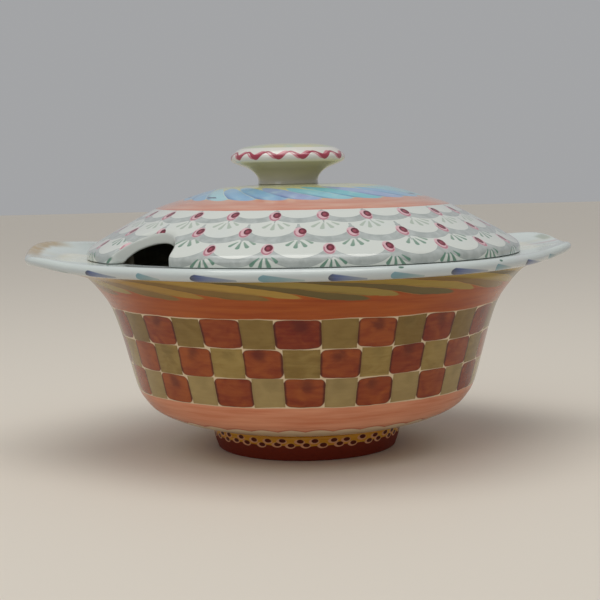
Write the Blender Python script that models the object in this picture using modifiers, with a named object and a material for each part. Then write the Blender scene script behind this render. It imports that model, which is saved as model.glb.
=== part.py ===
"""Covered tureen: a round earthenware bowl with two fluted lug ears and a domed lid.

Metres, +Z up. The origin is on the table under the bowl's axis, +X points to the right ear and
-Y to the front. The lid lifts straight up off the rim.
"""

import math

import bmesh
import bpy

# ---- driving dimensions -------------------------------------------------------------------
FOOT_R = 0.0680            # foot ring, outer radius where it meets the bowl
FOOT_HEIGHT = 0.0175
FOOT_BATTER = 0.0045       # how much narrower the foot is at the table
FOOT_WALL = 0.0120
RIM_R = 0.1590             # outer radius of the bowl's rounded rim
RIM_TOP = 0.1360           # height of the rim's flat top, where the lid rests
RIM_THICK = 0.0080
SEAT_R = 0.1420            # inner corner of the rim's flat top
LID_R = 0.1512             # outer radius of the lid
LID_WALL = 0.0080
LID_CROWN = 0.1842         # height of the lid's flat crown, under the knob
KNOB_BASE_R = 0.0212
KNOB_R = 0.0400
KNOB_TOP = 0.2130          # overall height
KNOB_OFFSET = (-0.0100, 0.0)   # the knob is luted on a little to the left of the lid's axis
EAR_REACH = 0.0330         # how far an ear stands out past the rim
EAR_ROOT = 0.0006          # what is left of that at the ear's two ends
EAR_HALF_ANGLE = 46        # degrees of rim that an ear spans each side of its middle
EAR_TIP_ANGLE = 14.5       # degrees from the ear's middle to the end of its rounded tip
EAR_TIP_SHARE = 0.45       # how much of the reach is that tip, and not the broad ear
EAR_LIFT = 0.0035          # how far the ear's ridges curl up above the rim
EAR_BACK_LIFT = (0.0110, 0.0075)   # how much higher each ear's back edge curls: left, right
EAR_CURL = (6.0, 10.0)     # degrees from the ear's middle to where that starts, and its softness
EAR_THICK = 0.0075
FLUTE_DEPTH = 0.0020
RIDGE_ANGLE = 9.5          # degrees from the ear's middle to each ridge between flutes
NOTCH_ANGLE = 54.0         # degrees from the front, towards the left ear
NOTCH_WIDTH = 0.0560
NOTCH_DEPTH = 0.0250
FLANGE_R = 0.1345          # locating ring under the lid
FLANGE_WALL = 0.0060
FLANGE_BOTTOM = 0.1255
GAP = 0.0003               # between luted or touching pieces
LID_EDGE = 0.0035          # radius of the lid's rounded edge
ROUND = 0.0020             # radius of the locating ring's lower edges

TURN_STEPS = 48
EAR_STEPS = (32, 5)        # along the rim, outwards
EAR_SPAN = 0.98            # share of the ear's angle that is built, short of its knife-thin ends
COLLECTION = "covered_tureen"


# ---- helpers ------------------------------------------------------------------------------
def clear_scene():
    for obj in list(bpy.data.objects):
        bpy.data.objects.remove(obj, do_unlink=True)


def new_collection(name):
    collection = bpy.data.collections.new(name)
    bpy.context.scene.collection.children.link(collection)
    return collection


def clay(name, colour, roughness):
    material = bpy.data.materials.new(name)
    material.use_nodes = True
    shader = material.node_tree.nodes["Principled BSDF"]
    shader.inputs["Base Color"].default_value = (*colour, 1.0)
    shader.inputs["Roughness"].default_value = roughness
    shader.inputs["Metallic"].default_value = 0.0
    return material


def add_object(name, mesh, material, collection):
    obj = bpy.data.objects.new(name, mesh)
    collection.objects.link(obj)
    if material is not None:
        mesh.materials.append(material)
    return obj


def arc(centre, radius, start, end, steps):
    """Points on an arc in the profile plane; angles in degrees, 0 outwards and 90 up."""
    points = []
    for i in range(steps + 1):
        angle = math.radians(start + (end - start) * i / steps)
        points.append((centre[0] + radius * math.cos(angle), centre[1] + radius * math.sin(angle)))
    return points


def spline(points, steps):
    """A Catmull-Rom curve through the points, with so many steps between each two."""
    padded = [points[0], *points, points[-1]]
    curve = []
    for i in range(1, len(padded) - 2):
        p0, p1, p2, p3 = padded[i - 1:i + 3]
        for k in range(steps):
            t = k / steps
            curve.append(tuple(
                0.5 * (2 * b + (c - a) * t + (2 * a - 5 * b + 4 * c - d) * t * t
                       + (3 * b - 3 * c + d - a) * t ** 3)
                for a, b, c, d in zip(p0, p1, p2, p3)))
    curve.append(points[-1])
    return curve


def turned(name, profile, material, collection, closed=False):
    """Turn a profile of (radius, height) points round the Z axis."""
    mesh = bpy.data.meshes.new(name)
    edges = [(i, i + 1) for i in range(len(profile) - 1)]
    if closed:
        edges.append((len(profile) - 1, 0))
    mesh.from_pydata([(r, 0.0, z) for r, z in profile], edges, [])
    obj = add_object(name, mesh, material, collection)
    screw = obj.modifiers.new("turn", "SCREW")
    screw.steps = TURN_STEPS
    screw.render_steps = TURN_STEPS
    screw.use_merge_vertices = True
    screw.merge_threshold = 0.00002
    screw.use_smooth_shade = True
    return obj


def cut(obj, cutter):
    boolean = obj.modifiers.new("cut_" + cutter.name, "BOOLEAN")
    boolean.operation = "DIFFERENCE"
    boolean.solver = "EXACT"
    boolean.object = cutter


# ---- the bowl and its foot ------------------------------------------------------------------
def bowl_profile():
    edge = RIM_THICK / 2
    floor_outside = FOOT_HEIGHT + GAP
    outer = [
        (0.1525, 0.1245), (0.1455, 0.1170), (0.1362, 0.1036), (0.1294, 0.0847), (0.1242, 0.0651),
        (0.1189, 0.0460), (0.1146, 0.0380), (0.1082, 0.0310), (0.0973, 0.0253),
        (0.0830, 0.0208), (FOOT_R + 0.001, floor_outside),
    ]
    inner = [
        (0.0, 0.0265), (0.0600, 0.0272), (0.0820, 0.0295), (0.0965, 0.0345), (0.1060, 0.0425),
        (0.1120, 0.0540), (0.1172, 0.0700), (0.1222, 0.0880), (0.1280, 0.1060), (0.1350, 0.1190),
        (SEAT_R - 0.0025, RIM_TOP - 0.0065),
    ]
    lip_inside = arc((SEAT_R + 0.0010, RIM_TOP - 0.0030), 0.0030, 160, 90, 3)
    lip_outside = arc((RIM_R - edge, RIM_TOP - edge), edge, 90, -30, 6)
    return inner + lip_inside + lip_outside + spline(outer, 2) + [(0.0, floor_outside)]


def make_bowl(collection):
    glaze = clay("bowl_glaze", (0.62, 0.30, 0.22), 0.18)
    return turned("bowl", bowl_profile(), glaze, collection)


def make_foot_ring(collection):
    bare = clay("foot_terracotta", (0.30, 0.11, 0.07), 0.75)
    table_r = FOOT_R - FOOT_BATTER
    inner_r = table_r - FOOT_WALL
    round_r = 0.0015
    profile = [(inner_r - 0.002, FOOT_HEIGHT), (FOOT_R, FOOT_HEIGHT)]
    profile += arc((table_r - round_r, round_r), round_r, 0, -90, 3)
    profile += arc((inner_r + round_r, round_r), round_r, -90, -180, 3)
    return turned("foot_ring", profile, bare, collection, closed=True)


# ---- the ears ---------------------------------------------------------------------------------
def ear_outline(angle):
    """How far the ear stands out past the rim at so many degrees from its middle."""
    broad = math.cos(math.radians(90 * angle / EAR_HALF_ANGLE)) ** 2
    tip = math.exp(-(angle / EAR_TIP_ANGLE) ** 4)
    return EAR_REACH * (broad + (tip - broad) * EAR_TIP_SHARE) + EAR_ROOT


def ear_height(angle, out, back_lift):
    """The ear's top above the rim's, at so many degrees from its middle towards the back.

    Ridges curl up with hollow flutes between them, and the back edge curls up a little more.
    """
    broad = math.cos(math.radians(90 * angle / EAR_HALF_ANGLE))
    arch = math.exp(-(angle / (RIDGE_ANGLE * 2)) ** 4)
    hollow = math.cos(math.radians(90 * angle / RIDGE_ANGLE)) ** 2
    towards_back = (1 + math.tanh((angle - EAR_CURL[0]) / EAR_CURL[1])) / 2
    curl = back_lift * broad ** 0.6 * towards_back
    return out ** 1.5 * (arch * (EAR_LIFT - FLUTE_DEPTH * hollow) + curl)


def make_ear(name, side, back_lift, collection):
    glaze = clay(name + "_glaze", (0.80, 0.80, 0.74), 0.16)
    around, outwards = EAR_STEPS
    start_r = RIM_R + GAP
    mesh = bpy.data.meshes.new(name)
    work = bmesh.new()
    rows = []
    for i in range(around + 1):
        angle = EAR_HALF_ANGLE * EAR_SPAN * (2 * i / around - 1)
        direction = math.radians(angle)
        row = []
        for j in range(outwards + 1):
            out = j / outwards
            radius = start_r + out * ear_outline(angle)
            height = RIM_TOP - GAP + ear_height(angle, out, back_lift)
            row.append(work.verts.new((side * radius * math.cos(direction),
                                       radius * math.sin(direction), height)))
        rows.append(row)
    for here, there in zip(rows, rows[1:]):
        for j in range(outwards):
            work.faces.new((here[j], here[j + 1], there[j + 1], there[j]))
    bmesh.ops.recalc_face_normals(work, faces=work.faces)
    if work.faces[0].normal.z < 0:
        bmesh.ops.reverse_faces(work, faces=work.faces)
    work.to_mesh(mesh)
    work.free()
    mesh.shade_smooth()
    ear = add_object(name, mesh, glaze, collection)
    solidify = ear.modifiers.new("thickness", "SOLIDIFY")
    solidify.thickness = EAR_THICK
    solidify.offset = -1.0
    solidify.use_even_offset = False
    return ear


# ---- the lid, its flange and its knob -----------------------------------------------------------
def lid_outer():
    return [
        (0.0, LID_CROWN), (0.0330, LID_CROWN), (0.0560, 0.1825), (0.0690, 0.1797), (0.0826, 0.1756),
        (0.1022, 0.1694), (0.1218, 0.1592), (0.1370, 0.1508), (0.1455, 0.1457),
    ]


def underside(radius):
    """Height of the lid's underside: its top lowered by the wall, flattened inside the seat."""
    points = lid_outer()
    for (r0, z0), (r1, z1) in zip(points, points[1:]):
        if r0 <= radius <= r1:
            slope = (z1 - z0) / (r1 - r0)
            top = z0 + slope * (radius - r0)
            return top - LID_WALL * math.sqrt(1 + slope * slope)
    raise ValueError("radius is past the lid")


def make_lid(collection, cutter):
    glaze = clay("lid_glaze", (0.80, 0.82, 0.80), 0.16)
    seat = RIM_TOP + GAP
    inner_radii = [0.0, 0.033, 0.056, 0.069, 0.0826, 0.1022, 0.1218, 0.1330]
    inner = [(r, underside(r)) for r in inner_radii] + [(0.1400, seat + 0.0012), (0.1425, seat)]
    rounded = arc((LID_R - LID_EDGE, seat + LID_EDGE), LID_EDGE, -90, 56, 6)
    outer = list(reversed(lid_outer()))[1:]
    lid = turned("lid", inner + rounded + spline(outer, 2), glaze, collection)
    cut(lid, cutter)
    return lid


def make_flange(collection, cutter):
    bare = clay("flange_glaze", (0.74, 0.74, 0.68), 0.3)
    inner_r = FLANGE_R - FLANGE_WALL
    shoulder_r = FLANGE_R - 0.0015
    top_inside = underside(inner_r) - 2 * GAP
    top_outside = underside(shoulder_r) - 2 * GAP - 0.0013
    profile = [(inner_r, top_inside), (shoulder_r, top_outside), (FLANGE_R, RIM_TOP)]
    profile += arc((FLANGE_R - 0.0030, FLANGE_BOTTOM + ROUND), ROUND, 0, -90, 3)
    profile += arc((inner_r + ROUND, FLANGE_BOTTOM + ROUND), ROUND, -90, -180, 3)
    flange = turned("lid_flange", profile, bare, collection, closed=True)
    cut(flange, cutter)
    return flange


def make_knob(collection):
    glaze = clay("knob_glaze", (0.78, 0.78, 0.72), 0.16)
    x, y = KNOB_OFFSET
    base = LID_CROWN + GAP
    upper = [(0.0, KNOB_TOP), (0.0140, KNOB_TOP - 0.0003), (0.0270, KNOB_TOP - 0.0017),
             (0.0345, KNOB_TOP - 0.0042), (KNOB_R - 0.0012, KNOB_TOP - 0.0078)]
    lower = [(0.0345, 0.1990), (0.0290, 0.1964), (0.0250, 0.1937), (0.0222, 0.1905),
             (KNOB_BASE_R - 0.0002, 0.1870), (KNOB_BASE_R, base)]
    edge = arc((KNOB_R - 0.0024, 0.2030), 0.0024, 40, -60, 5)
    knob = turned("knob", spline(upper, 2) + edge + lower + [(0.0, base)],
                  glaze, collection)
    knob.location = (x, y, 0.0)
    return knob


def make_notch_cutter(name, width, depth, collection):
    """A U-shaped upright prism that opens the lid's edge from LID_R inwards."""
    mesh = bpy.data.meshes.new(name)
    work = bmesh.new()
    half = width / 2
    closed_end = LID_R - depth + half
    outline = [(LID_R + 0.02, -half * 1.04), (LID_R + 0.02, half * 1.04)]
    outline += [(closed_end - p[1], p[0]) for p in arc((0.0, 0.0), half, 0, 180, 16)]
    direction = math.radians(-90 - NOTCH_ANGLE)
    c, s = math.cos(direction), math.sin(direction)
    bottom = [work.verts.new((x * c - y * s, x * s + y * c, 0.110)) for x, y in outline]
    face = work.faces.new(bottom)
    top = bmesh.ops.extrude_face_region(work, geom=[face])
    lifted = [v for v in top["geom"] if isinstance(v, bmesh.types.BMVert)]
    bmesh.ops.translate(work, verts=lifted, vec=(0.0, 0.0, 0.080))
    bmesh.ops.recalc_face_normals(work, faces=work.faces)
    work.to_mesh(mesh)
    work.free()
    cutter = add_object(name, mesh, None, collection)
    cutter.hide_render = True
    cutter.display_type = "WIRE"
    return cutter


def main():
    clear_scene()
    parts = new_collection(COLLECTION)
    cutters = new_collection("cutters")
    make_bowl(parts)
    make_foot_ring(parts)
    make_ear("ear_left", -1, EAR_BACK_LIFT[0], parts)
    make_ear("ear_right", 1, EAR_BACK_LIFT[1], parts)

    lifting = bpy.data.objects.new("lid_axis", None)
    parts.objects.link(lifting)
    notch = make_notch_cutter("notch_cutter", NOTCH_WIDTH, NOTCH_DEPTH, cutters)
    wide = make_notch_cutter("flange_cutter", NOTCH_WIDTH + 0.010, NOTCH_DEPTH + 0.004, cutters)
    for piece in (make_lid(parts, notch), make_flange(parts, wide), make_knob(parts)):
        piece.parent = lifting


main()
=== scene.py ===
"""Looks for the covered tureen: hand-painted tin glaze on a thrown bowl with fluted ears and a domed lid.

Lengths are in metres in the mesh code and in millimetres inside the materials. Angles round the pot
are in degrees from the front (-Y), growing towards the right ear (+X).
"""
import math

import bpy
import numpy as np
from mathutils import Matrix, Vector


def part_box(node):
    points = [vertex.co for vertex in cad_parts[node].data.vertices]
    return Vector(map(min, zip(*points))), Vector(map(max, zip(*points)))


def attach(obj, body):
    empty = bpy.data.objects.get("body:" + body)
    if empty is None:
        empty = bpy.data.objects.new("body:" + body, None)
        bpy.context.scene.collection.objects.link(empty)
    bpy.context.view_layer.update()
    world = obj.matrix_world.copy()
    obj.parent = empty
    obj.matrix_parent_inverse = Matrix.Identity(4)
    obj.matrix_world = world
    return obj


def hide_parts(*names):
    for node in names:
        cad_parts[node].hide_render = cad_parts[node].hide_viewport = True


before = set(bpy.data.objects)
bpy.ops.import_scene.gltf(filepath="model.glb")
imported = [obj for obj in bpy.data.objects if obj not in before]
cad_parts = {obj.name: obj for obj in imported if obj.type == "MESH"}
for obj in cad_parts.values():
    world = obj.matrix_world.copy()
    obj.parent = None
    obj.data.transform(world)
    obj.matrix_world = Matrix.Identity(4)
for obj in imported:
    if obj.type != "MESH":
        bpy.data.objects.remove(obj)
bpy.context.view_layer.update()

# ---- places, from the frame -----------------------------------------------------------------
_, BOWL_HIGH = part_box("bowl")
_, FOOT_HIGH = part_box("foot_ring")
_, LID_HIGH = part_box("lid")
FLANGE_LOW, FLANGE_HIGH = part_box("lid_flange")
KNOB_LOW, KNOB_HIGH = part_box("knob")
_, EAR_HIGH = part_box("ear_right")

RIM_R, RIM_TOP = BOWL_HIGH.x, BOWL_HIGH.z
FOOT_R, FOOT_TOP = FOOT_HIGH.x, FOOT_HIGH.z
LID_R = LID_HIGH.x
KNOB_X, KNOB_Y = (KNOB_LOW.x + KNOB_HIGH.x) / 2, (KNOB_LOW.y + KNOB_HIGH.y) / 2
KNOB_R, KNOB_TOP = (KNOB_HIGH.x - KNOB_LOW.x) / 2, KNOB_HIGH.z
EAR_REACH = EAR_HIGH.x - RIM_R

# ---- the pot's own proportions ----------------------------------------------------------------
SEAT_R = RIM_R - 0.0170        # inner corner of the rim's flat top
RIM_EDGE = 0.0040              # half the thickness of the rounded rim
GAP = 0.0003                   # between luted pieces
FOOT_BATTER = 0.0045           # how much narrower the foot is at the table
FOOT_WALL = 0.0120
FLANGE_WALL = 0.0060
EAR_HALF_ANGLE = 46.0          # degrees of rim that an ear spans each side of its middle
EAR_TIP_ANGLE = 14.5           # degrees from the ear's middle to the end of its rounded tip
EAR_TIP_SHARE = 0.45           # how much of the reach is that tip, and not the broad ear
RIDGE_ANGLE = 9.5              # degrees from the ear's middle to each ridge between flutes
EAR_LIFT = 0.0035              # how far the ridges curl up above the rim
EAR_BACK_LIFT = (0.0110, 0.0075)   # how much higher each ear's back edge curls: left, right
EAR_CURL = (6.0, 10.0)         # degrees from the ear's middle to where that starts, and its softness
FLUTE_DEPTH = 0.0020
NOTCH_ANGLE = -54.0            # from the front, towards the left ear
NOTCH_HALF = 0.0280
NOTCH_DEPTH = 0.0250
NOTCH_LIP = 0.0050             # how much wider the gap in the flange is than the notch, each side
ROUND_STEPS = 384

# ---- painted bands, in millimetres ------------------------------------------------------------
CHECK_BOTTOM, CHECK_TOP, CHECK_ROWS, CHECKS_ROUND = 46.0, 103.6, 3, 34
ORANGE_TOP = 117.2
PINK_BOTTOM = 29.5
FOOT_PAINT = 10.2              # the foot is bare below this height
YELLOW_OUT, BLUE_OUT, PEACH_OUT = 56.0, 83.0, 103.0   # radii on the lid
SCALES_ROUND = 24
PATTERN_TURN = 3.2             # degrees left of the front, for the lid's scales and the rim's green dabs
# each row of scales: its buds' distance from the peach band, then its outlines' lowest point, how
# deep they hang and half their thickness
SCALE_ROWS = ((7.5, 13.6, 9.0, 2.9), (28.3, 36.4, 12.0, 3.5), (46.2, 57.6, 13.5, 3.0))
# the leaves under a bud: tip, root and the half width of each
LEAVES = (((-0.8, 15.6), (-0.1, 9.6), 1.25, 0.3), ((-5.8, 13.4), (-2.2, 9.0), 1.1, 0.3),
          ((4.8, 14.6), (1.9, 9.4), 1.2, 0.3), ((8.4, 11.4), (4.8, 8.4), 0.9, 0.25))
LEAF_PAIRS = 15                # pairs of leaf strokes under the rim, one dark and one olive
COMMA_PITCH = 15.0             # degrees from one comma stroke on the rim to the next
BLUE_STROKES = 24
FOOT_DOTS = 38
PINK_SCALLOPS = 36
KNOB_WAVES = 15


def srgb(red, green, blue):
    """An 8-bit colour as linear values."""
    return tuple(((c / 255 + 0.055) / 1.055) ** 2.4 if c > 10 else c / 255 / 12.92
                 for c in (red, green, blue))


# ---- materials as arithmetic --------------------------------------------------------------------
class Num:
    """A node's output, with arithmetic that adds nodes."""

    def __init__(self, net, socket):
        self.net, self.socket = net, socket

    def __neg__(self):
        return self.net.math("MULTIPLY", self, -1.0)


def math_method(operation, swapped):
    """A method of Num that adds one Math node; a swapped one has the number itself last."""
    def method(self, *others):
        values = (*others, self) if swapped else (self, *others)
        return self.net.math(operation, *values)
    return method


NUM_METHODS = {"ADD": ("__add__", "__radd__"), "SUBTRACT": ("__sub__", "__rsub__"),
               "MULTIPLY": ("__mul__", "__rmul__"), "DIVIDE": ("__truediv__",), "ABSOLUTE": ("__abs__",),
               "FLOOR": ("floor",), "ROUND": ("round",), "SINE": ("sin",), "COSINE": ("cos",),
               "FLOORED_MODULO": ("mod",), "MAXIMUM": ("max",), "MINIMUM": ("min",),
               "GREATER_THAN": ("above",)}
for math_operation, method_names in NUM_METHODS.items():
    for method_name in method_names:
        setattr(Num, method_name, math_method(math_operation, method_name.startswith("__r")))


class Net:
    """A Principled material whose colour is built up in layers, as a painter would."""

    def __init__(self, name, ground):
        self.material = bpy.data.materials.new(name)
        self.material.use_nodes = True
        self.tree = self.material.node_tree
        self.shader = self.tree.nodes["Principled BSDF"]
        self.colour = ground
        self.relief = None
        position = self.node("ShaderNodeTexCoord").outputs["Object"]
        scaled = self.node("ShaderNodeVectorMath", operation="SCALE")
        self.tree.links.new(position, scaled.inputs[0])
        scaled.inputs["Scale"].default_value = 1000.0
        self.mm = scaled.outputs[0]

    def node(self, kind, **settings):
        made = self.tree.nodes.new(kind)
        for key, value in settings.items():
            setattr(made, key, value)
        return made

    def feed(self, socket, value):
        if isinstance(value, Num):
            self.tree.links.new(value.socket, socket)
        elif isinstance(value, bpy.types.NodeSocket):
            self.tree.links.new(value, socket)
        elif isinstance(value, tuple):
            socket.default_value = (*value[:3], 1.0) if len(socket.default_value) == 4 else value
        else:
            socket.default_value = value

    def math(self, operation, *values):
        made = self.node("ShaderNodeMath", operation=operation)
        for socket, value in zip(made.inputs, values):
            self.feed(socket, value)
        return Num(self, made.outputs[0])

    def angle(self, x, y):
        return self.math("ARCTAN2", x, -y) * (180 / math.pi)

    def length(self, x, y):
        return self.math("SQRT", x * x + y * y)

    def ramp(self, value, low, high):
        """0 at low rising smoothly to 1 at high; low may be the larger."""
        made = self.node("ShaderNodeMapRange", interpolation_type="SMOOTHSTEP")
        self.feed(made.inputs["Value"], value)
        self.feed(made.inputs["From Min"], low)
        self.feed(made.inputs["From Max"], high)
        return Num(self, made.outputs["Result"])

    def band(self, value, low, high, soft=0.25):
        return self.ramp(value, low - soft, low + soft) * self.ramp(value, high + soft, high - soft)

    def mix(self, below, above, mask):
        made = self.node("ShaderNodeMix", data_type="RGBA")
        self.feed(made.inputs["Factor"], mask)
        self.feed(made.inputs[6], below)
        self.feed(made.inputs[7], above)
        return made.outputs[2]

    def layer(self, mask, colour):
        self.colour = self.mix(self.colour, colour, mask)

    def lerp(self, a, b, t):
        return a + (b - a) * t

    def vector(self, x, y, z):
        made = self.node("ShaderNodeCombineXYZ")
        for socket, value in zip(made.inputs, (x, y, z)):
            self.feed(socket, value)
        return made.outputs[0]

    def noise(self, scale, detail=2.0, seed=0.0, stretch=(1.0, 1.0, 1.0), distortion=0.0):
        """Smooth noise in the pot's millimetres, about -1 to 1, with its own colour output."""
        moved = self.node("ShaderNodeMapping")
        self.feed(moved.inputs["Vector"], self.mm)
        moved.inputs["Location"].default_value = (seed * 17.3, seed * 9.1, seed * 4.7)
        moved.inputs["Scale"].default_value = tuple(s / scale for s in stretch)
        made = self.node("ShaderNodeTexNoise")
        self.feed(made.inputs["Vector"], moved.outputs[0])
        made.inputs["Scale"].default_value = 1.0
        made.inputs["Detail"].default_value = detail
        made.inputs["Distortion"].default_value = distortion
        value = (Num(self, made.outputs[0]) - 0.5) * 2.6
        return value, made.outputs[1]

    def split(self, vector):
        made = self.node("ShaderNodeSeparateXYZ")
        self.feed(made.inputs[0], vector)
        return [Num(self, s) for s in made.outputs]

    def random(self, *cell):
        """Three random numbers from 0 to 1 that belong to a cell."""
        made = self.node("ShaderNodeTexWhiteNoise", noise_dimensions="3D")
        padded = list(cell) + [0.5] * (3 - len(cell))
        moved = [v + 0.37 if isinstance(v, Num) else v for v in padded]
        self.feed(made.inputs["Vector"], self.vector(*moved))
        split = self.node("ShaderNodeSeparateColor")
        self.feed(split.inputs[0], made.outputs["Color"])
        return [Num(self, s) for s in split.outputs]

    def pick(self, value, colours):
        """One of several colours, by a number from 0 to 1."""
        made = self.node("ShaderNodeValToRGB")
        ramp = made.color_ramp
        ramp.interpolation = "CONSTANT"
        while len(ramp.elements) < len(colours):
            ramp.elements.new(0.5)
        for k, colour in enumerate(colours):
            ramp.elements[k].position = k / len(colours)
            ramp.elements[k].color = (*colour, 1.0)
        self.feed(made.inputs[0], value)
        return made.outputs[0]

    def blend_colours(self, value, stops):
        """A smooth ramp through (position, colour) stops."""
        made = self.node("ShaderNodeValToRGB")
        ramp = made.color_ramp
        while len(ramp.elements) < len(stops):
            ramp.elements.new(0.5)
        for k, (position, colour) in enumerate(stops):
            ramp.elements[k].position = position
            ramp.elements[k].color = (*colour, 1.0)
        self.feed(made.inputs[0], value)
        return made.outputs[0]

    def attribute(self, name):
        made = self.node("ShaderNodeAttribute", attribute_name=name)
        return Num(self, made.outputs["Fac"])

    def hand(self, broad, fine):
        """The position in millimetres, moved a little as a brush wanders."""
        result = self.mm
        for scale, reach, seed in ((38.0, broad, 1.0), (6.0, fine, 2.0)):
            _, colour = self.noise(scale, 1.0, seed)
            centred = self.node("ShaderNodeVectorMath", operation="SUBTRACT")
            self.feed(centred.inputs[0], colour)
            centred.inputs[1].default_value = (0.5, 0.5, 0.5)
            grown = self.node("ShaderNodeVectorMath", operation="MULTIPLY_ADD")
            self.feed(grown.inputs[0], centred.outputs[0])
            grown.inputs[1].default_value = (reach * 2.2,) * 3
            self.feed(grown.inputs[2], result)
            result = grown.outputs[0]
        return result

    def segment(self, x, y, start, end, wide, narrow):
        """Distance in millimetres to a stroke that tapers from start to end; inside is negative."""
        dx, dy = end[0] - start[0], end[1] - start[1]
        squared = dx * dx + dy * dy
        along = self.math("MULTIPLY_ADD", x - start[0], dx / squared, (y - start[1]) * (dy / squared))
        along = along.max(0.0).min(1.0)
        away = self.length(x - start[0] - along * dx, y - start[1] - along * dy)
        return away - self.lerp(wide, narrow, along)

    def finish(self, roughness=0.16, bump=0.00012, coat=0.35, specular=0.5):
        """Closes the material: glaze gloss, faint pooling and pinholes."""
        wavy, _ = self.noise(9.0, 2.0, 5.0)
        grain, _ = self.noise(1.1, 2.0, 6.0)
        height = wavy * 0.6 + grain * 0.18
        if self.relief is not None:
            height = height + self.relief
        bumped = self.node("ShaderNodeBump")
        bumped.inputs["Strength"].default_value = 0.35
        bumped.inputs["Distance"].default_value = bump
        self.feed(bumped.inputs["Height"], height)
        self.feed(self.shader.inputs["Normal"], bumped.outputs[0])
        self.feed(self.shader.inputs["Base Color"], self.colour)
        self.feed(self.shader.inputs["Roughness"], (wavy * 0.05 + grain * 0.03 + roughness).max(0.04))
        self.shader.inputs["Coat Weight"].default_value = coat
        self.shader.inputs["Coat Roughness"].default_value = 0.05
        self.shader.inputs["Specular IOR Level"].default_value = specular
        return self.material


# ---- the painted patterns -----------------------------------------------------------------------
WHITE = srgb(213, 217, 210)
CREAM = srgb(222, 200, 165)
INSIDE = srgb(222, 220, 205)


def streaked(net, dark, light, seed, across=1.2, along=26.0, amount=0.5):
    """Brush streaks that run round the pot."""
    value, _ = net.noise(across, 3.0, seed, (across / along, across / along, 1.0))
    return net.mix(dark, light, net.ramp(value * amount + 0.5, 0.0, 1.0))


def add_bands(net, ang, height):
    """The bowl's plain bands: pink below the checks, with a scalloped lower edge, and orange above."""
    pink = streaked(net, srgb(198, 112, 74), srgb(230, 164, 128), 11.0, 2.6, 40.0, 0.36)
    scallop = PINK_BOTTOM - 2.0 + abs((ang * (PINK_SCALLOPS / 2 * math.pi / 180)).sin()) * 1.7
    below_checks = net.ramp(height, CHECK_BOTTOM, CHECK_BOTTOM - 0.6)
    net.layer(net.ramp(height - scallop, -0.2, 0.2) * below_checks, pink)
    net.layer(net.ramp(abs(height - scallop - 0.3), 0.7, 0.2) * 0.6, srgb(168, 62, 34))
    orange = streaked(net, srgb(146, 56, 8), srgb(182, 95, 30), 12.0, 2.6, 40.0, 0.36)
    net.layer(net.band(height, CHECK_TOP + 0.2, ORANGE_TOP + 5.0), orange)


def add_checks(net, ang, height, radius):
    """Three rows of hand-painted checks: broad rust-red ones and narrower khaki ones."""
    pairs = CHECKS_ROUND / 2
    tall = (CHECK_TOP - CHECK_BOTTOM) / CHECK_ROWS
    drift, _ = net.noise(60.0, 0.0, 3.0, (1.0, 1.0, 0.2))
    v = (height - CHECK_BOTTOM) / tall
    j = v.floor()
    q = (ang + 60.0) * (pairs / 360) + j.mod(2.0) * 0.5 - (2.0 - j) * 0.03 + drift * 0.06
    k = q.floor()
    share = 0.55
    red = 1.0 - (q - k).above(share)
    r1, r2, r3 = net.random(k.mod(pairs), j, red)
    pair_mm = radius * (2 * math.pi / pairs)
    half_wide = pair_mm * net.lerp((1 - share) / 2, share / 2, red)
    x = (q - k - net.lerp((1 + share) / 2, share / 2, red)) * pair_mm + (r1 - 0.5) * 0.5 * red
    y = (v - j - 0.5) * tall + (r2 - 0.5) * 0.9 + x * (r3 - 0.5) * 0.07
    corner = 0.6 + red * (2.4 + r1 * 1.2)
    bulge = x * x * 0.004 * red
    qx = abs(x) - half_wide + corner - 0.25
    qy = abs(y) - tall / 2 + corner + 0.1 + bulge
    box = net.length(qx.max(0.0), qy.max(0.0)) + qx.max(qy).min(0.0) - corner
    inside = net.ramp(box, 0.35, -0.25) * net.band(height, CHECK_BOTTOM, CHECK_TOP, 0.15)
    wash, _ = net.noise(8.0, 3.0, 21.0, (0.6, 0.6, 1.0), 0.8)
    bristle, _ = net.noise(1.5, 2.0, 22.0, (0.12, 0.12, 1.0))
    tone = net.ramp(wash * 0.36 + bristle * 0.14 + (r3 - 0.5) * 0.5 + 0.5, 0.0, 1.0)
    reds = net.mix(srgb(116, 26, 4), srgb(164, 82, 30), tone)
    khakis = net.mix(srgb(124, 96, 40), srgb(166, 140, 78), tone)
    # painted shade and light: the top row's khaki is painted darker as shade under the rim, and the bottom
    # row's khaki lighter as painted light
    khakis = net.mix(khakis, srgb(112, 84, 34), j.above(1.5) * 0.5)
    khakis = net.mix(khakis, srgb(186, 166, 118), (1.0 - j.above(0.5)) * 0.4)
    painted = net.mix(khakis, reds, red)
    smudge = net.ramp(net.length(x + (r2 - 0.5) * 6.0, y - 5.5) + wash * 2.5, 7.0, 1.0) * r1.above(0.35)
    painted = net.mix(painted, net.mix(srgb(96, 84, 44), srgb(78, 14, 8), red), smudge * (red * 0.35 + 0.2))
    side = half_wide - abs(x)
    pooled = net.ramp(side + wash * 0.4, 2.0, 0.5) * (0.12 + red * 0.68)
    pooled = pooled.max(net.ramp(box, -0.9, -0.1) * 0.35 * red)
    painted = net.mix(painted, srgb(64, 18, 8), pooled)
    net.layer(inside, painted)
    net.relief = inside * 0.8


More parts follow.
